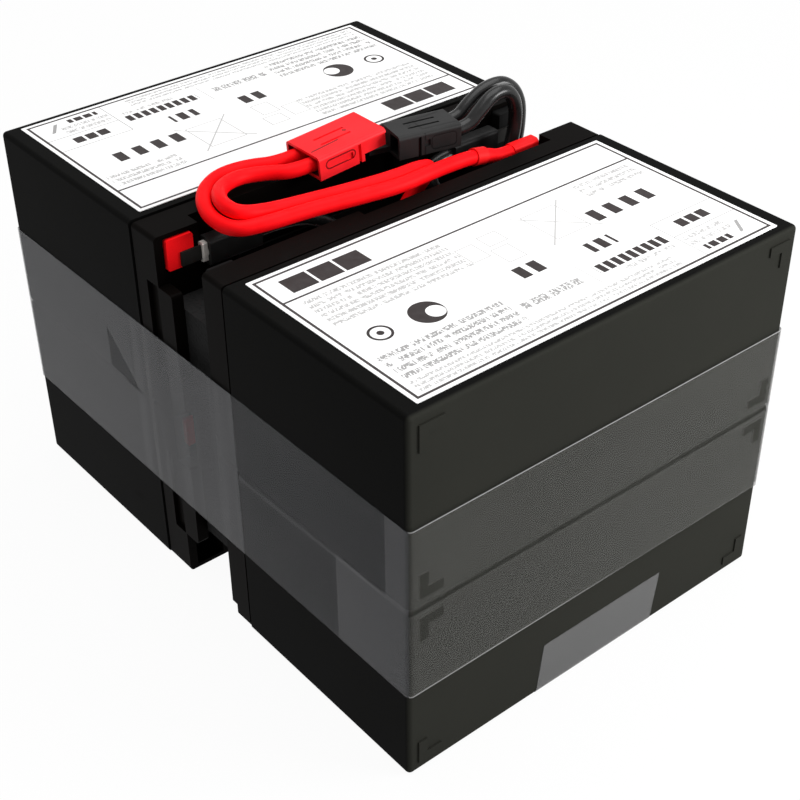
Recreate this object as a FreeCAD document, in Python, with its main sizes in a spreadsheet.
import FreeCAD, Part
import Sketcher
import math
import os

# UPS battery cartridge: two stacks of two sealed 12 V blocks, lids facing each other across a
# gap, held by a stretch-film band, spacers and a clear strip, with a mated pair of leads.
# Frame: +Z up, origin at the middle of the bottom, X along the blocks, Y across the two stacks.

doc = FreeCAD.newDocument("battery_cartridge")
sheet = doc.addObject("Spreadsheet::Sheet", "Sizes")

SIZES = [
    # battery block: jar and lid
    ("block_length", 151.0),
    ("block_thickness", 65.5),
    ("jar_depth", 80.5),
    ("jar_corner", 1.6),
    ("seam_gap", 1.1),
    ("seam_setback", 1.6),
    ("lid_inset", 0.3),
    ("lid_depth", 9.7),
    ("lid_corner", 1.4),
    # corner marks that stand on the jar floor
    ("mark_margin", 3.6),
    ("mark_arm", 8.6),
    ("mark_width", 3.2),
    ("mark_rise", 0.5),
    # lid: raised end frame, windows, channel, rebate, lug
    ("frame_rise", 2.7),
    ("frame_length", 16.0),
    ("window_margin", 3.4),
    ("window_length", 10.4),
    ("window_height", 11.2),
    ("window_sill", 1.8),
    ("window_sink", 8.0),
    ("channel_start", 57.0),
    ("channel_height", 15.5),
    ("channel_sink", 2.9),
    ("rebate_height", 5.1),
    ("rebate_sink", 2.6),
    ("lug_thickness", 4.0),
    ("lug_reach", 7.2),
    ("lug_bottom", 17.0),
    ("lug_height", 31.5),
    ("lug_round", 1.2),
    ("lug_slot_depth", 1.4),
    ("lug_slot_width", 5.9),
    ("lug_slot_offset", 0.6),
    # vent cover plate set into the lid
    ("vent_start", 30.0),
    ("vent_length", 91.0),
    ("vent_bottom", 17.0),
    ("vent_height", 31.0),
    ("vent_corner", 3.0),
    ("vent_thickness", 1.8),
    ("vent_sink", 1.0),
    ("vent_clearance", 0.2),
    ("vent_slot_length", 12.0),
    ("vent_slot_width", 1.6),
    ("vent_slot_pitch", 15.0),
    ("vent_slot_sink", 0.8),
    # terminals: coloured base, blade, receptacle, insulating sleeve
    ("base_side_clearance", 0.5),
    ("base_end_clearance", 0.4),
    ("base_proud", 1.0),
    ("base_round", 0.8),
    ("blade_width", 4.75),
    ("blade_thickness", 0.8),
    ("blade_reach", 8.0),
    ("blade_root", 5.0),
    ("blade_drop", 9.7),
    ("receptacle_width", 6.6),
    ("receptacle_thickness", 2.6),
    ("receptacle_length", 11.5),
    ("receptacle_overlap", 0.6),
    ("blade_fit", 0.05),
    ("sleeve_start", 1.0),
    ("sleeve_length", 19.0),
    ("sleeve_height", 9.0),
    ("sleeve_thickness", 6.0),
    ("sleeve_corner", 1.5),
    ("sleeve_fit", 0.1),
    ("barrel_diameter", 3.6),
    ("red_sleeve_length", 10.5),
    ("red_sleeve_height", 12.7),
    ("red_sleeve_thickness", 5.0),
    ("red_sleeve_lift", 2.25),
    # gap between the two stacks and what fills and binds it
    ("stack_gap", 28.4),
    ("spacer_setback", 0.2),
    ("spacer_depth", 21.4),
    ("spacer_bottom", 21.0),
    ("spacer_drop", 23.0),
    ("spacer_notch_margin", 3.4),
    ("notch_clearance", 0.6),
    ("spacer_corner", 0.8),
    ("film_bottom", 33.0),
    ("film_height", 61.5),
    ("film_thickness", 0.2),
    ("film_fit", 0.02),
    ("strip_width", 51.5),
    ("strip_start", 51.5),
    ("strip_rise", 19.4),
    ("strip_thickness", 0.15),
    ("strip_skew", 2.5),
    # labels on the upper faces
    ("label_length", 139.3),
    ("label_width", 74.6),
    ("label_end_margin", 6.0),
    ("label_side_margin", 3.3),
    ("label_corner", 0.4),
    ("label_thickness", 0.2),
    # plug housings and leads
    ("housing_height", 7.9),
    ("housing_round", 1.4),
    ("red_housing_length", 17.7),
    ("red_housing_width", 17.4),
    ("nose_length", 9.0),
    ("nose_height", 5.8),
    ("nose_margin", 0.5),
    ("flange_length", 1.2),
    ("slit_width", 1.1),
    ("slit_sink", 1.0),
    ("grey_housing_length", 22.5),
    ("grey_housing_width", 13.4),
    ("tongue_length", 7.0),
    ("tongue_width", 6.0),
    ("tongue_height", 1.8),
    ("red_way_pitch", 8.0),
    ("grey_way_pitch", 7.0),
    ("way_bore", 5.6),
    ("way_depth", 6.0),
    ("mouth_depth", 2.6),
    ("mouth_wall", 1.0),
    ("ridge_width", 0.9),
    ("ridge_sink", 0.5),
    ("latch_side", 2.2),
    ("latch_sink", 0.6),
    ("lead_diameter", 4.8),
    ("red_lead_lift", 6.15),
    ("collar_length", 4.8),
    ("collar_diameter", 5.8),
    ("collar_fit", 0.03),
]
for row, (alias, value) in enumerate(SIZES, start=1):
    sheet.set("A%d" % row, alias)
    sheet.set("B%d" % row, "%g" % value)
    sheet.setAlias("B%d" % row, alias)
doc.recompute()


def size(name):
    return float(getattr(sheet, name))


# ---------------------------------------------------------------- sketch and feature helpers

def plane_of(body, role):
    return [f for f in body.Origin.OriginFeatures if f.Role == role][0]


def new_body(name):
    body = doc.addObject("PartDesign::Body", name)
    body.Label = name
    return body


def new_sketch(body, name, role="XZ_Plane", offset=None):
    """A sketch on one of the body's own origin planes; offset is an expression along its normal."""
    sketch = body.newObject("Sketcher::SketchObject", name)
    sketch.AttachmentSupport = (plane_of(body, role), [""])
    sketch.MapMode = "FlatFace"
    if offset:
        sketch.setExpression("AttachmentOffset.Base.z", offset)
    return sketch


def value_of(expression):
    return float(sheet.evalExpression(expression))


def add_rectangle(sketch, left, low, wide, high):
    """A rectangle whose corner and sides are driven by expressions of the sheet."""
    x0, y0 = value_of(left), value_of(low)
    x1, y1 = x0 + value_of(wide), y0 + value_of(high)
    corners = [(x0, y0), (x1, y0), (x1, y1), (x0, y1)]
    first = sketch.GeometryCount
    for i, start in enumerate(corners):
        end = corners[(i + 1) % 4]
        sketch.addGeometry(Part.LineSegment(FreeCAD.Vector(*start, 0), FreeCAD.Vector(*end, 0)), False)
    for i in range(4):
        sketch.addConstraint(Sketcher.Constraint("Coincident", first + i, 2, first + (i + 1) % 4, 1))
        sketch.addConstraint(Sketcher.Constraint("Vertical" if i % 2 else "Horizontal", first + i))
    for kind, line, point, other, amount in (("DistanceX", -1, 1, 1, left), ("DistanceY", -1, 1, 1, low),
                                             ("DistanceX", first, 1, 2, wide),
                                             ("DistanceY", first + 1, 1, 2, high)):
        end_line = first if line == -1 else line
        index = sketch.addConstraint(
            Sketcher.Constraint(kind, line, point, end_line, other, value_of(amount)))
        sketch.setExpression("Constraints[%d]" % index, amount)


def extrude(body, kind, name, sketch, length, reverse):
    """A Pad or Pocket of a sketch, as long as the expression says."""
    feature = body.newObject("PartDesign::" + kind, name)
    feature.Profile = sketch
    feature.Reversed = reverse
    feature.setExpression("Length", length)
    sketch.Visibility = False
    doc.recompute()
    return feature


def block_pad(body, name, rectangles, start, length):
    """Rectangles in X and Z, padded along +Y from the expression start."""
    sketch = new_sketch(body, name + "_sketch", "XZ_Plane", "-(%s)" % start)
    for rectangle in rectangles:
        add_rectangle(sketch, *rectangle)
    return extrude(body, "Pad", name, sketch, length, True)


def block_pocket(body, name, rectangles, top, sink, downward):
    """Rectangles in X and Z, sunk from the expression top along -Y or +Y, checked by volume."""
    before = body.Shape.Volume
    sketch = new_sketch(body, name + "_sketch", "XZ_Plane", "-(%s)" % top)
    for rectangle in rectangles:
        add_rectangle(sketch, *rectangle)
    feature = extrude(body, "Pocket", name, sketch, sink, downward)
    if body.Shape.Volume >= before - 1e-3:
        raise RuntimeError(name + " cuts nothing")
    return feature


def edges_along(shape, axis, accept):
    """Names of the straight edges parallel to an axis whose middle point is accepted."""
    names = []
    for number, edge in enumerate(shape.Edges, start=1):
        if edge.Curve.TypeId != "Part::GeomLine":
            continue
        span = edge.Vertexes[-1].Point - edge.Vertexes[0].Point
        if abs(abs(span.normalize().dot(axis)) - 1) < 1e-6 and accept(edge.CenterOfMass):
            names.append("Edge%d" % number)
    return names


def fillet(body, name, names, radius):
    base = body.Tip
    feature = body.newObject("PartDesign::Fillet", name)
    feature.Base = (base, names)
    feature.setExpression("Radius", radius)
    doc.recompute()
    return feature


AXIS_X = FreeCAD.Vector(1, 0, 0)
AXIS_Y = FreeCAD.Vector(0, 1, 0)
AXIS_Z = FreeCAD.Vector(0, 0, 1)

# ---------------------------------------------------------------- shared positions, as expressions
# Block frame: X along the block to its positive end, Y from the jar floor to the lid, Z up.

LID_BACK = "(Sizes.jar_depth + Sizes.seam_gap)"
LID_FRONT = "(Sizes.jar_depth + Sizes.seam_gap + Sizes.lid_depth)"
FRAME_TOP = "(Sizes.jar_depth + Sizes.seam_gap + Sizes.lid_depth + Sizes.frame_rise)"
LID_LENGTH = "(Sizes.block_length - 2 * Sizes.lid_inset)"
LID_HEIGHT = "(Sizes.block_thickness - 2 * Sizes.lid_inset)"
LID_END = "(Sizes.block_length - Sizes.lid_inset)"
FRAME_START = "(Sizes.block_length - Sizes.frame_length)"
MARK_HEIGHT = "(Sizes.mark_rise + Sizes.jar_corner)"
POSITIVE_WINDOW = "(Sizes.block_length - Sizes.window_margin - Sizes.window_length)"
NEGATIVE_WINDOW = "Sizes.window_margin"
WINDOW_LOW = "(Sizes.block_thickness - Sizes.window_sill - Sizes.window_height)"
BLADE_PLANE = "(%s + Sizes.base_proud)" % FRAME_TOP
BLADE_AXIS = "(Sizes.block_thickness - Sizes.blade_drop)"
BLADE_LOW = "(%s - Sizes.blade_width / 2)" % BLADE_AXIS

length = size("block_length")
thickness = size("block_thickness")
lid_front = value_of(LID_FRONT)
frame_top = value_of(FRAME_TOP)
blade_middle = value_of(BLADE_PLANE) + size("blade_thickness") / 2
width = 2 * lid_front + size("stack_gap")
height = 2 * thickness
floor = size("strip_thickness")

BLOCKS = [("near_upper", 0, 1), ("near_lower", 0, 0), ("far_upper", 180, 1), ("far_lower", 180, 0)]


def block_placement(turn, level):
    """Where a block stands: the far stack is the near one turned half round about Z."""
    corner = FreeCAD.Vector(-length / 2, -width / 2, floor + level * thickness)
    turned = FreeCAD.Rotation(AXIS_Z, turn)
    return FreeCAD.Placement(turned.multVec(corner), turned)


# ---------------------------------------------------------------- battery blocks

def make_case(name):
    """The moulded jar: a closed box with rounded edges and a raised L in each corner of its floor."""
    body = new_body(name)
    block_pad(body, name + "_jar", [("0", "0", "Sizes.block_length", "Sizes.block_thickness")],
              "0", "Sizes.jar_depth")
    rounded = edges_along(body.Shape, AXIS_Y, lambda m: True)
    rounded += edges_along(body.Shape, AXIS_X, lambda m: abs(m.y) < 0.01)
    rounded += edges_along(body.Shape, AXIS_Z, lambda m: abs(m.y) < 0.01)
    fillet(body, name + "_edges", rounded, "Sizes.jar_corner")
    for part, wide, high in (("flat", "Sizes.mark_arm", "Sizes.mark_width"),
                             ("upright", "Sizes.mark_width", "Sizes.mark_arm")):
        lefts = ("Sizes.mark_margin", "Sizes.block_length - Sizes.mark_margin - " + wide)
        lows = ("Sizes.mark_margin", "Sizes.block_thickness - Sizes.mark_margin - " + high)
        marks = [(left, low, wide, high) for left in lefts for low in lows]
        block_pad(body, "%s_%s_marks" % (name, part), marks, "-Sizes.mark_rise", MARK_HEIGHT)
    return body


def make_lid(name):
    """The lid: spigot, plate, raised end frame with windows, channel, rebate and end lug."""
    body = new_body(name)
    inner = "(%s - 2 * Sizes.seam_setback)"
    block_pad(body, name + "_spigot",
              [("Sizes.lid_inset + Sizes.seam_setback", "Sizes.lid_inset + Sizes.seam_setback",
                inner % LID_LENGTH, inner % LID_HEIGHT)], "Sizes.jar_depth", "Sizes.seam_gap")
    block_pad(body, name + "_plate", [("Sizes.lid_inset", "Sizes.lid_inset", LID_LENGTH, LID_HEIGHT)],
              LID_BACK, "Sizes.lid_depth")
    block_pad(body, name + "_frame",
              [(FRAME_START, "Sizes.lid_inset", "Sizes.frame_length - Sizes.lid_inset", LID_HEIGHT)],
              LID_FRONT, "Sizes.frame_rise")
    sides = (size("lid_inset"), length - size("lid_inset"))
    tops = (size("lid_inset"), thickness - size("lid_inset"))
    corners = edges_along(body.Shape, AXIS_Y, lambda m: min(abs(m.x - s) for s in sides) < 0.01
                          and min(abs(m.z - t) for t in tops) < 0.01)
    fillet(body, name + "_corners", corners, "Sizes.lid_corner")
    block_pad(body, name + "_lug",
              [(LID_END + " - Sizes.lug_thickness", "Sizes.lug_bottom", "Sizes.lug_thickness",
                "Sizes.lug_height")], FRAME_TOP, "Sizes.lug_reach")
    tip = value_of(FRAME_TOP + " + Sizes.lug_reach")
    ends = edges_along(body.Shape, AXIS_X, lambda m: abs(m.y - tip) < 0.01)
    fillet(body, name + "_lug_ends", ends, "Sizes.lug_round")
    window = ("Sizes.window_length", "Sizes.window_height")
    block_pocket(body, name + "_positive_windows",
                 [(POSITIVE_WINDOW, WINDOW_LOW) + window,
                  (POSITIVE_WINDOW, "Sizes.window_sill") + window], FRAME_TOP, "Sizes.window_sink", True)
    block_pocket(body, name + "_negative_window", [(NEGATIVE_WINDOW, WINDOW_LOW) + window],
                 LID_FRONT, "Sizes.window_sink", True)
    block_pocket(body, name + "_channel",
                 [("Sizes.channel_start", "Sizes.block_thickness - Sizes.channel_height",
                   FRAME_START + " - Sizes.channel_start", "Sizes.channel_height")],
                 LID_FRONT, "Sizes.channel_sink", True)
    block_pocket(body, name + "_rebate", [("0", "0", FRAME_START, "Sizes.rebate_height")],
                 LID_FRONT, "Sizes.rebate_sink", True)
    block_pocket(body, name + "_vent_recess",
                 [("Sizes.vent_start", "Sizes.vent_bottom", "Sizes.vent_length", "Sizes.vent_height")],
                 LID_FRONT, "Sizes.vent_sink", True)
    before = body.Shape.Volume
    slot = new_sketch(body, name + "_lug_slot_sketch", "YZ_Plane", LID_END)
    add_rectangle(slot, FRAME_TOP + " - Sizes.lug_slot_offset - Sizes.lug_slot_width",
                  "Sizes.lug_bottom", "Sizes.lug_slot_width", "Sizes.lug_height")
    extrude(body, "Pocket", name + "_lug_slot", slot, "Sizes.lug_slot_depth", False)
    if body.Shape.Volume >= before - 1e-3:
        raise RuntimeError(name + " lug slot cuts nothing")
    return body


def make_vent_cover(name):
    """The plate over the valves: rounded ends and a row of gas slots."""
    body = new_body(name)
    fit = "Sizes.vent_clearance"
    block_pad(body, name + "_plate",
              [("Sizes.vent_start + " + fit, "Sizes.vent_bottom + " + fit,
                "Sizes.vent_length - 2 * " + fit, "Sizes.vent_height - 2 * " + fit)],
              LID_FRONT + " - Sizes.vent_sink", "Sizes.vent_thickness")
    fillet(body, name + "_corners", edges_along(body.Shape, AXIS_Y, lambda m: True),
           "Sizes.vent_corner")
    count = int((size("vent_length") - size("vent_slot_length")) // size("vent_slot_pitch"))
    middle = "Sizes.vent_bottom + Sizes.vent_height / 2 - Sizes.vent_slot_width / 2"
    first = "Sizes.vent_start + Sizes.vent_length / 2 - Sizes.vent_slot_length / 2"
    slots = [("%s + %g * Sizes.vent_slot_pitch" % (first, i - (count - 1) / 2), middle,
              "Sizes.vent_slot_length", "Sizes.vent_slot_width") for i in range(count)]
    block_pocket(body, name + "_slots", slots,
                 LID_FRONT + " - Sizes.vent_sink + Sizes.vent_thickness", "Sizes.vent_slot_sink", True)
    return body


def make_base(name, window, floor_level):
    """The coloured block that stands in a terminal window and carries the blade."""
    body = new_body(name)
    block_pad(body, name + "_block",
              [(window + " + Sizes.base_side_clearance", WINDOW_LOW + " + Sizes.base_end_clearance",
                "Sizes.window_length - 2 * Sizes.base_side_clearance",
                "Sizes.window_height - 2 * Sizes.base_end_clearance")],
              floor_level, "%s - %s" % (BLADE_PLANE, floor_level))
    fillet(body, name + "_corners", edges_along(body.Shape, AXIS_Y, lambda m: True), "Sizes.base_round")
    return body


def make_blades(name):
    """The two tin-plated blades that lie on their bases and reach over the lid to its middle."""
    body = new_body(name)
    positive_tip = FRAME_START + " - Sizes.blade_reach"
    positive_root = POSITIVE_WINDOW + " + Sizes.base_side_clearance + Sizes.blade_root"
    for pole, left in (("positive", positive_tip), ("negative", "Sizes.block_length - (%s)" % positive_root)):
        block_pad(body, "%s_%s" % (name, pole),
                  [(left, BLADE_LOW, "%s - (%s)" % (positive_root, positive_tip), "Sizes.blade_width")],
                  BLADE_PLANE, "Sizes.blade_thickness")
    return body


pieces = {}


def keep(name, shape_object, placement):
    shape_object.Placement = placement
    pieces[name] = shape_object


WINDOW_FLOOR = "(%s - Sizes.window_sink)"
for block, turn, level in BLOCKS:
    place = block_placement(turn, level)
    keep(block + "_case", make_case(block + "_case"), place)
    keep(block + "_lid", make_lid(block + "_lid"), place)
    keep(block + "_vent_cover", make_vent_cover(block + "_vent_cover"), place)
    keep(block + "_positive_base",
         make_base(block + "_positive_base", POSITIVE_WINDOW, WINDOW_FLOOR % FRAME_TOP), place)
    keep(block + "_negative_base",
         make_base(block + "_negative_base", NEGATIVE_WINDOW, WINDOW_FLOOR % LID_FRONT), place)
    keep(block + "_blades", make_blades(block + "_blades"), place)

# ---------------------------------------------------------------- receptacles and sleeves
# Each terminal frame: X from the frame wall towards the block's middle, Y out of the lid, Z up.

blade_axis = value_of(BLADE_AXIS)
wall = length - size("frame_length")
sleeve_end = size("sleeve_start") + size("sleeve_length")
red_sleeve_end = size("sleeve_start") + size("red_sleeve_length")


def terminal_placement(turn, level, positive):
    """The frame of one terminal, on the blade's own axis."""
    place = block_placement(turn, level)
    start = FreeCAD.Vector(wall if positive else length - wall, blade_middle, blade_axis)
    spin = FreeCAD.Rotation(AXIS_Z, 180 if positive else 0)
    return place.multiply(FreeCAD.Placement(start, spin))


def centred_box(start, long, deep, high, lift=0.0):
    return Part.makeBox(long, deep, high, FreeCAD.Vector(start, -deep / 2, lift - high / 2))


def receptacle(end):
    """A folded receptacle open to the blade, with its crimped barrel up to the sleeve's end."""
    start = -size("receptacle_overlap")
    long = size("receptacle_length")
    shell = centred_box(start, long, size("receptacle_thickness"), size("receptacle_width"))
    shell = shell.makeFillet(size("receptacle_thickness") / 4, shell.Edges[8:12])
    fit = 2 * size("blade_fit")
    slot = centred_box(start - 1, 1 - start + size("blade_reach") + size("blade_fit"),
                       size("blade_thickness") + fit, size("blade_width") + fit)
    back = start + long
    barrel = Part.makeCylinder(size("barrel_diameter") / 2, end - back, FreeCAD.Vector(back, 0, 0), AXIS_X)
    return shell.cut(slot).fuse(barrel).removeSplitter()


def sleeve(long, deep, high, lift):
    """An insulating sleeve: a rounded tube over the receptacle, closed down to the barrel."""
    start = size("sleeve_start")
    body = centred_box(start, long, deep, high, lift)
    body = body.makeFillet(size("sleeve_corner"), body.Edges[8:12])
    fit = 2 * size("sleeve_fit")
    back = size("receptacle_length") - size("receptacle_overlap") + size("sleeve_fit")
    pocket = centred_box(start - 1, back - start + 1, size("receptacle_thickness") + fit,
                         size("receptacle_width") + fit)
    bore = Part.makeCylinder(size("barrel_diameter") / 2 + size("sleeve_fit"), long + start,
                             FreeCAD.Vector(0, 0, 0), AXIS_X)
    return body.cut(pocket).cut(bore)


def add_shape(name, shape):
    feature = doc.addObject("Part::Feature", name)
    feature.Label = name
    feature.Shape = shape
    pieces[name] = feature
    return feature


TERMINALS = [(turn, level, positive) for _, turn, level in BLOCKS for positive in (True, False)]
RED_TERMINAL = (0, 1, True)


def placed(shape, placement):
    moved = shape.copy()
    moved.Placement = placement
    return moved


receptacles = []
black_sleeves = []
for terminal in TERMINALS:
    place = terminal_placement(*terminal)
    if terminal == RED_TERMINAL:
        receptacles.append(placed(receptacle(red_sleeve_end), place))
        red = sleeve(size("red_sleeve_length"), size("red_sleeve_thickness"), size("red_sleeve_height"),
                     size("red_sleeve_lift"))
        add_shape("red_sleeve", placed(red, place))
    else:
        receptacles.append(placed(receptacle(sleeve_end), place))
        black = sleeve(size("sleeve_length"), size("sleeve_thickness"), size("sleeve_height"), 0.0)
        black_sleeves.append(placed(black, place))
add_shape("blade_receptacles", Part.makeCompound(receptacles))
add_shape("black_sleeves", Part.makeCompound(black_sleeves))

# ---------------------------------------------------------------- gap spacers, film, strip, labels

SPACER_WIDTH = "(Sizes.stack_gap - Sizes.frame_rise)"
SPACER_HEIGHT = "(2 * Sizes.block_thickness - Sizes.spacer_drop - Sizes.spacer_bottom)"
SLEEVE_OVER_FRAME = "(Sizes.base_proud + (Sizes.blade_thickness + Sizes.sleeve_thickness) / 2)"


def side_pad(body, name, rectangles, long):
    """Rectangles in Y and Z, padded along +X."""
    sketch = new_sketch(body, name + "_sketch", "YZ_Plane")
    for rectangle in rectangles:
        add_rectangle(sketch, *rectangle)
    return extrude(body, "Pad", name, sketch, long, False)


def make_spacer(name):
    """A foam block between the lids, notched both sides round the lower terminals."""
    body = new_body(name)
    side_pad(body, name + "_block", [("0", "0", SPACER_WIDTH, SPACER_HEIGHT)],
             "Sizes.spacer_depth")
    fillet(body, name + "_edges", edges_along(body.Shape, AXIS_Z, lambda m: True), "Sizes.spacer_corner")
    low = WINDOW_LOW + " - Sizes.spacer_notch_margin - Sizes.spacer_bottom"
    high = "Sizes.window_height + 2 * Sizes.spacer_notch_margin"
    near_sink = SLEEVE_OVER_FRAME + " + Sizes.frame_rise + Sizes.notch_clearance"
    far_sink = SLEEVE_OVER_FRAME + " + Sizes.notch_clearance"
    before = body.Shape.Volume
    sketch = new_sketch(body, name + "_notch_sketch", "YZ_Plane")
    add_rectangle(sketch, "0", low, near_sink, high)
    add_rectangle(sketch, "%s - (%s)" % (SPACER_WIDTH, far_sink), low, far_sink, high)
    extrude(body, "Pocket", name + "_notches", sketch, "Sizes.spacer_depth", True)
    if body.Shape.Volume >= before - 1e-3:
        raise RuntimeError(name + " notches cut nothing")
    return body


spacer_corner = FreeCAD.Vector(
    -length / 2 + size("lid_inset") + size("lug_thickness") + size("spacer_setback"),
    -width / 2 + lid_front, floor + size("spacer_bottom"))
keep("left_spacer", make_spacer("left_spacer"), FreeCAD.Placement(spacer_corner, FreeCAD.Rotation()))
half_turn = FreeCAD.Rotation(AXIS_Z, 180)
keep("right_spacer", make_spacer("right_spacer"),
     FreeCAD.Placement(half_turn.multVec(spacer_corner), half_turn))


def make_film():
    """A band of stretch film round all four blocks, bridging the gap at both ends."""
    body = new_body("film_band")
    skin = "Sizes.film_thickness"
    across = "2 * (%s + Sizes.mark_rise + Sizes.film_fit) + Sizes.stack_gap" % LID_FRONT
    along = "Sizes.block_length + 2 * Sizes.film_fit"
    sketch = new_sketch(body, "film_sketch", "XY_Plane")
    add_rectangle(sketch, "0", "0", along + " + 2 * " + skin, across + " + 2 * " + skin)
    add_rectangle(sketch, skin, skin, along, across)
    extrude(body, "Pad", "film_wrap", sketch, "Sizes.film_height", False)
    skin_size = size("film_thickness")
    reach = FreeCAD.Vector(length / 2 + size("film_fit"), width / 2 + size("mark_rise") + size("film_fit"), 0)
    middle = reach + FreeCAD.Vector(skin_size, skin_size, 0)
    inside = (reach.x + skin_size / 2, reach.y + skin_size / 2)
    for ring, radius in (("inner", "Sizes.jar_corner + Sizes.film_fit"),
                         ("outer", "Sizes.jar_corner + Sizes.film_fit + " + skin)):
        chosen = edges_along(body.Shape, AXIS_Z, lambda m: ring == (
            "inner" if abs(m.x - middle.x) < inside[0] and abs(m.y - middle.y) < inside[1] else "outer")
            and abs(m.x - middle.x) > length / 2 - size("jar_corner") / 4)
        fillet(body, "film_%s_corners" % ring, chosen, radius)
    return body, FreeCAD.Vector(-middle.x, -middle.y, floor + size("film_bottom"))


film, film_corner = make_film()
keep("film_band", film, FreeCAD.Placement(film_corner, FreeCAD.Rotation()))


def strip_profile(grow):
    """A rounded U section in Y and Z, grown outwards from the blocks by an amount."""
    reach = width / 2 + grow
    box = Part.makeBox(length, 2 * reach, 2 * size("strip_rise") + 2 * grow,
                       FreeCAD.Vector(-length / 2, -reach, floor - grow))
    low = [e for e in box.Edges if abs(e.CenterOfMass.z - floor + grow) < 1e-6
           and abs(abs(e.CenterOfMass.y) - reach) < 1e-6]
    return box.makeFillet(size("jar_corner") + grow, low)


def make_strip():
    """A clear strip under the blocks, turned up both outer faces, its flaps leaning a little."""
    shell = strip_profile(size("strip_thickness")).cut(strip_profile(0.0))
    left = -length / 2 + size("strip_start")
    right = left + size("strip_width")
    rise = floor + size("strip_rise")
    lean = size("strip_skew")
    corners = [(left, -1), (right, -1), (right, floor), (right + lean, rise), (left + lean, rise),
               (left, floor), (left, -1)]
    outline = Part.makePolygon([FreeCAD.Vector(x, -width, z) for x, z in corners])
    prism = Part.Face(outline).extrude(FreeCAD.Vector(0, 2 * width, 0))
    return shell.common(prism)


add_shape("bottom_strip", make_strip())


def make_label(name):
    """The printed label on a jar's upper face."""
    body = new_body(name)
    sketch = new_sketch(body, name + "_sketch", "XY_Plane")
    add_rectangle(sketch, "0", "0", "Sizes.label_length", "Sizes.label_width")
    extrude(body, "Pad", name + "_sheet", sketch, "Sizes.label_thickness", False)
    fillet(body, name + "_corners", edges_along(body.Shape, AXIS_Z, lambda m: True), "Sizes.label_corner")
    return body


label_corner = FreeCAD.Vector(-length / 2 + size("label_end_margin"),
                              -width / 2 + size("label_side_margin"), floor + height)
keep("near_label", make_label("near_label"), FreeCAD.Placement(label_corner, FreeCAD.Rotation()))
keep("far_label", make_label("far_label"),
     FreeCAD.Placement(half_turn.multVec(label_corner), half_turn))

# ---------------------------------------------------------------- the mated plug housings
# The plug and the slack of its leads are placed from the middle of the pack's upper face.

TOP_MIDDLE = FreeCAD.Vector(0, 0, floor + height)
RED_HOUSING_AT = (-15.8, 7.9, 0.0)
RED_HOUSING_PITCH = -4.4
GREY_HOUSING_AT = (10.7, 1.6, 0.85)
GREY_HOUSING_YAW = -12.0

housing_height = size("housing_height")
way_depth = size("way_depth")
nose_floor = housing_height - size("nose_height")


def beside(anchor, offsets):
    return [anchor + FreeCAD.Vector(*offset) for offset in offsets]


def mouth(wide):
    """The hollow in the near end of a housing, inside its walls."""
    wall = size("mouth_wall")
    return Part.makeBox(size("mouth_depth"), wide - 2 * wall, housing_height - 2 * wall,
                        FreeCAD.Vector(0, wall, wall))


def ways(width_value, pitch, end, inward):
    """The round bores that the two leads enter, from one end of a housing."""
    bores = []
    for side in (-0.5, 0.5):
        start = FreeCAD.Vector(end, width_value / 2 + side * pitch, housing_height / 2)
        bores.append(Part.makeCylinder(size("way_bore") / 2, way_depth, start, AXIS_X * inward))
    return bores


def ridge_grooves(start, long, wide, pitch):
    """Shallow grooves along the top, over the wall between the two ways."""
    across, sink = size("ridge_width"), size("ridge_sink")
    grooves = []
    for offset in (-pitch / 4, pitch / 4):
        low = FreeCAD.Vector(start, wide / 2 + offset - across / 2, housing_height - sink)
        grooves.append(Part.makeBox(long, across, sink + 1, low))
    return grooves


def long_top_edges(shape):
    return [e for e in shape.Edges if abs(e.CenterOfMass.z - housing_height) < 1e-6
            and abs(e.tangentAt(e.FirstParameter).x) > 0.99]


def red_housing():
    """The red half: body, slit and flange, and a hood that covers the grey half's tongue."""
    long = size("red_housing_length")
    wide = size("red_housing_width")
    hood = size("nose_length")
    margin = size("nose_margin")
    shape = Part.makeBox(long + hood, wide, housing_height)
    shape = shape.makeFillet(size("housing_round"), long_top_edges(shape))
    under = Part.makeBox(hood + 1, wide, nose_floor, FreeCAD.Vector(long, 0, 0))
    slit_at = long - size("flange_length") - size("slit_width")
    sink = size("slit_sink")
    cuts = [under, mouth(wide)] + ways(wide, size("red_way_pitch"), 0, 1)
    for side in (0, wide - sink):
        cuts.append(Part.makeBox(size("slit_width"), sink, housing_height - size("housing_round"),
                                 FreeCAD.Vector(slit_at, side, 0)))
    for side in (0, wide - margin):
        cuts.append(Part.makeBox(hood + 1, margin, housing_height - size("housing_round"),
                                 FreeCAD.Vector(long, side, 0)))
    latch = size("latch_side")
    cuts.append(Part.makeBox(latch, size("latch_sink"), latch,
                             FreeCAD.Vector(slit_at - 2 * latch, 0, housing_height / 2 - latch / 2)))
    cuts += ridge_grooves(way_depth, long - way_depth, wide, size("red_way_pitch"))
    for cutter in cuts:
        shape = shape.cut(cutter)
    return shape


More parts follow.
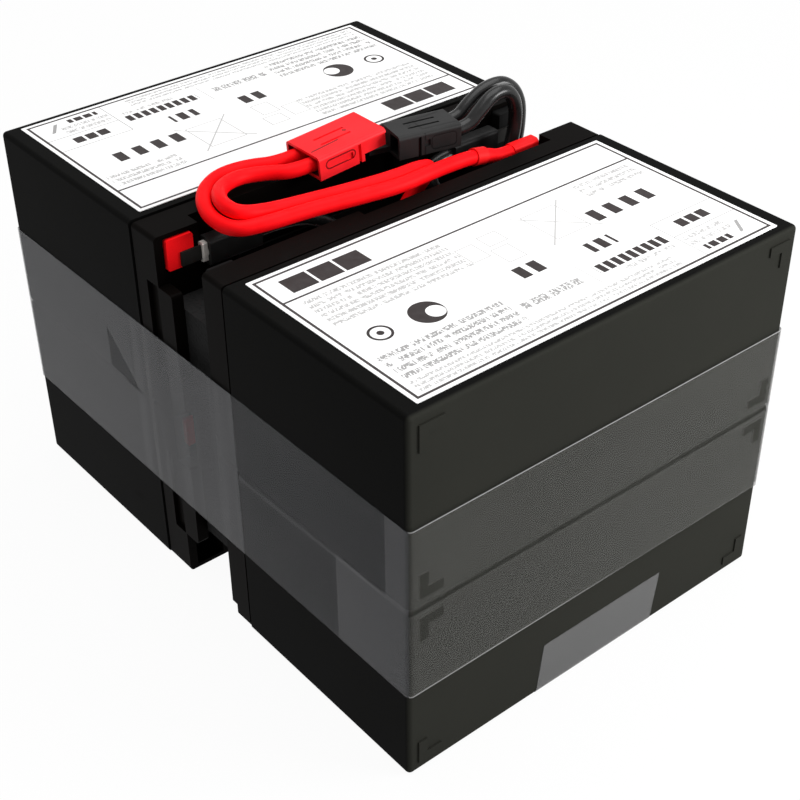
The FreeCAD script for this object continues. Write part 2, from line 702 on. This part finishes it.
def grey_housing():
    """The grey half: body, tongue under the red hood, slot, latch window and top grooves."""
    long = size("grey_housing_length")
    wide = size("grey_housing_width")
    latch = size("latch_side")
    shape = Part.makeBox(long, wide, housing_height)
    shape = shape.makeFillet(size("housing_round"), long_top_edges(shape))
    tongue = Part.makeBox(size("tongue_length"), size("tongue_width"), size("tongue_height"),
                          FreeCAD.Vector(-size("tongue_length"), wide - size("tongue_width"), 0))
    shape = shape.fuse(tongue)
    cuts = [mouth(wide - size("tongue_width"))] + ways(wide, size("grey_way_pitch"), long, -1)
    slot_at = long / 2 - 2 * latch
    cuts.append(Part.makeBox(size("slit_width"), size("slit_sink"),
                             housing_height - size("housing_round"), FreeCAD.Vector(slot_at, 0, 0)))
    cuts.append(Part.makeBox(latch, size("latch_sink"), latch,
                             FreeCAD.Vector(slot_at + latch, 0, housing_height / 2 - latch / 2)))
    cuts += ridge_grooves(long / 4, long / 2, wide, size("grey_way_pitch"))
    for cutter in cuts:
        shape = shape.cut(cutter)
    return shape


red_corner, grey_corner = beside(TOP_MIDDLE, [RED_HOUSING_AT, GREY_HOUSING_AT])
red_at = FreeCAD.Placement(red_corner, FreeCAD.Rotation(AXIS_Y, RED_HOUSING_PITCH))
grey_at = FreeCAD.Placement(grey_corner, FreeCAD.Rotation(AXIS_Z, GREY_HOUSING_YAW))
add_shape("red_housing", placed(red_housing(), red_at))
add_shape("grey_housing", placed(grey_housing(), grey_at))

# ---------------------------------------------------------------- leads

diameter = size("lead_diameter")

RED_SLACK_A = [(-31, 26.3, 3.05), (-41.5, 27.3, 2.85), (-51.5, 21.1, 2.75), (-57.5, 9.3, 2.25),
               (-56.7, -3.1, 1.85), (-47, -6.6, 2.35), (-32.5, -8.6, 2.65), (-16.5, -11.8, 2.65),
               (-2, -14.3, 2.65), (8.5, -13.2, 2.35)]
RED_TAIL_A = [(-29, -1.2, 4.8), (-18, -0.2, 3.8), (-10.5, 0.1, 2.2)]
RED_SLACK_B = [(-29.5, 18.9, 3.25), (-38.9, 21.4, 3.65), (-48.3, 16.5, 4.75), (-53.8, 7.1, 5.85),
               (-52.7, -0.7, 5.15), (-43.1, -1.6, 3.05), (-30.5, -3.6, 2.65), (-15.5, -6.6, 2.65),
               (-2.5, -9, 2.65), (5.5, -7.1, 1.25), (11.5, -4.1, -3.65), (15.1, -1.5, -12.65),
               (16, 1.1, -24.15), (13.1, 3.4, -36.15)]
RED_TAIL_B = [(45, -6.2, 26.55), (33, -5.6, 14.05), (22, -2.8, 4.85)]
GREY_SLACK_A = [(41.9, -1.3, 9.75), (48, -1.5, 14.15), (55, -1.5, 13.25), (58.5, -1.5, 5.85),
                (57.1, -1.7, -4.65), (52.3, -2.1, -14.65), (42.3, -2.5, -23.15),
                (32.5, -2.9, -34.15)]
GREY_TAIL_A = [(62, 6.8, 30.05), (50, 6.6, 20.55), (36, 6, 11.55), (23.5, 3, 3.65)]
GREY_SLACK_B = [(43.4, 5.9, 9.25), (50.5, 5.3, 13.25), (58.3, 4.3, 13.45), (64.1, 3.4, 6.85),
                (64.3, 3.1, -3.65), (62.1, 3.3, -13.75), (54, 3.6, -18.75)]
GREY_TAIL_B = [(3, -6.6, -9.85), (-11, -6.4, -9.65)]
LINK_START = [(24, 0.1, -4.45), (34.5, -0.1, -13.45), (43, 0.1, -25.45)]
LINK_END = [(-28, -0.1, 27.55), (-20.5, 0.1, 15.05)]


def way_run(placement, end, inward, middle, out):
    """Two points of a lead: on the floor of its bore and out in front of its housing."""
    ends = (end + inward * way_depth, end - inward * out)
    return [placement.multVec(FreeCAD.Vector(x, middle, housing_height / 2)) for x in ends]


def sleeve_run(terminal, mouth_at, out, lift=0.0):
    """Two points of a lead: in front of its sleeve and at the sleeve's mouth."""
    place = terminal_placement(*terminal)
    return [place.multVec(FreeCAD.Vector(x, 0, lift)) for x in (mouth_at + out, mouth_at)]


def lead_section(at, along):
    return Part.Face(Part.Wire(Part.makeCircle(diameter / 2, at, along)))


def lead(name, route):
    """A round lead: straight runs joined by tangent arcs, each as large as its two runs allow."""
    points = route
    runs = []
    radii = []
    path_length = 0.0
    start = points[0]
    for before, corner, after in zip(points, points[1:], points[2:]):
        into = (corner - before).normalize()
        out = (after - corner).normalize()
        turn = into.getAngle(out)
        tangent = 0.45 * min((corner - before).Length, (after - corner).Length)
        radius = tangent / math.tan(turn / 2)
        radii.append(radius)
        arc_start = corner - into * tangent
        pole = into.cross(out).normalize()
        centre = arc_start + pole.cross(into) * radius
        runs.append(lead_section(start, into).extrude(arc_start - start))
        runs.append(lead_section(arc_start, into).revolve(centre, pole, math.degrees(turn)))
        path_length += (arc_start - start).Length + radius * turn
        start = corner + out * tangent
    runs.append(lead_section(start, points[-1] - start).extrude(points[-1] - start))
    path_length += (points[-1] - start).Length
    tube = runs[0].multiFuse(runs[1:])
    section_area = math.pi * diameter ** 2 / 4
    print("%s: length %.1f, radii %.1f to %.1f, volume %.4f of section times length, %d solid"
          % (name, path_length, min(radii), max(radii), tube.Volume / section_area / path_length,
             len(tube.Solids)))
    add_shape(name, tube.Solids[0])


red_wide = size("red_housing_width")
grey_long, grey_wide = size("grey_housing_length"), size("grey_housing_width")
red_half, grey_half = size("red_way_pitch") / 2, size("grey_way_pitch") / 2
run_out = 6.0

tail = sleeve_run(RED_TERMINAL, red_sleeve_end, 5.5, size("red_lead_lift"))
red_route_a = way_run(red_at, 0.0, 1, red_wide / 2 + red_half, run_out)
red_route_a += beside(TOP_MIDDLE, RED_SLACK_A) + beside(tail[1], RED_TAIL_A) + tail
lead("red_lead_a", red_route_a)

tail = sleeve_run((180, 0, True), sleeve_end, 11.5)
red_route_b = way_run(red_at, 0.0, 1, red_wide / 2 - red_half, run_out)
red_route_b += beside(TOP_MIDDLE, RED_SLACK_B) + beside(tail[1], RED_TAIL_B) + tail
lead("red_lead_b", red_route_b)

tail = sleeve_run((0, 0, False), sleeve_end, 12.0)
grey_route_a = way_run(grey_at, grey_long, -1, grey_wide / 2 - grey_half, 3.7)
grey_route_a += beside(TOP_MIDDLE, GREY_SLACK_A) + beside(tail[1], GREY_TAIL_A) + tail
lead("grey_lead_a", grey_route_a)

tail = sleeve_run((180, 1, False), sleeve_end, 11.0)
grey_route_b = way_run(grey_at, grey_long, -1, grey_wide / 2 + grey_half, 3.7)
grey_route_b += beside(TOP_MIDDLE, GREY_SLACK_B) + beside(tail[1], GREY_TAIL_B) + tail
lead("grey_lead_b", grey_route_b)

for name, turn in (("far_link_lead", 180), ("near_link_lead", 0)):
    upper = sleeve_run((turn, 1, turn == 180), sleeve_end, 12.0)
    lower = sleeve_run((turn, 0, turn == 0), sleeve_end, 12.0)
    lead(name, upper[::-1] + beside(upper[1], LINK_START) + beside(lower[1], LINK_END) + lower)


def collar():
    """A short red collar round the lead that runs on alone."""
    start, end = red_route_a[-4], red_route_a[-3]
    along = (end - start).normalize()
    low = start + along * (0.5 * (end - start).Length - size("collar_length") / 2)
    outer = Part.makeCylinder(size("collar_diameter") / 2, size("collar_length"), low, along)
    bore = Part.makeCylinder(diameter / 2 + size("collar_fit"), size("collar_length"), low, along)
    return outer.cut(bore)


add_shape("red_collar", collar())

# ---------------------------------------------------------------- checks and files

doc.recompute()
for item in doc.Objects:
    if "Invalid" in item.State or "Error" in item.State:
        raise RuntimeError("failed object: " + item.Name)
os.makedirs("parts", exist_ok=True)
for name, piece in pieces.items():
    if piece.Shape.isNull() or not piece.Shape.isValid():
        raise RuntimeError("bad shape: " + name)
    piece.Shape.exportStep("parts/%s.step" % name)
print("%d sub-parts written" % len(pieces))
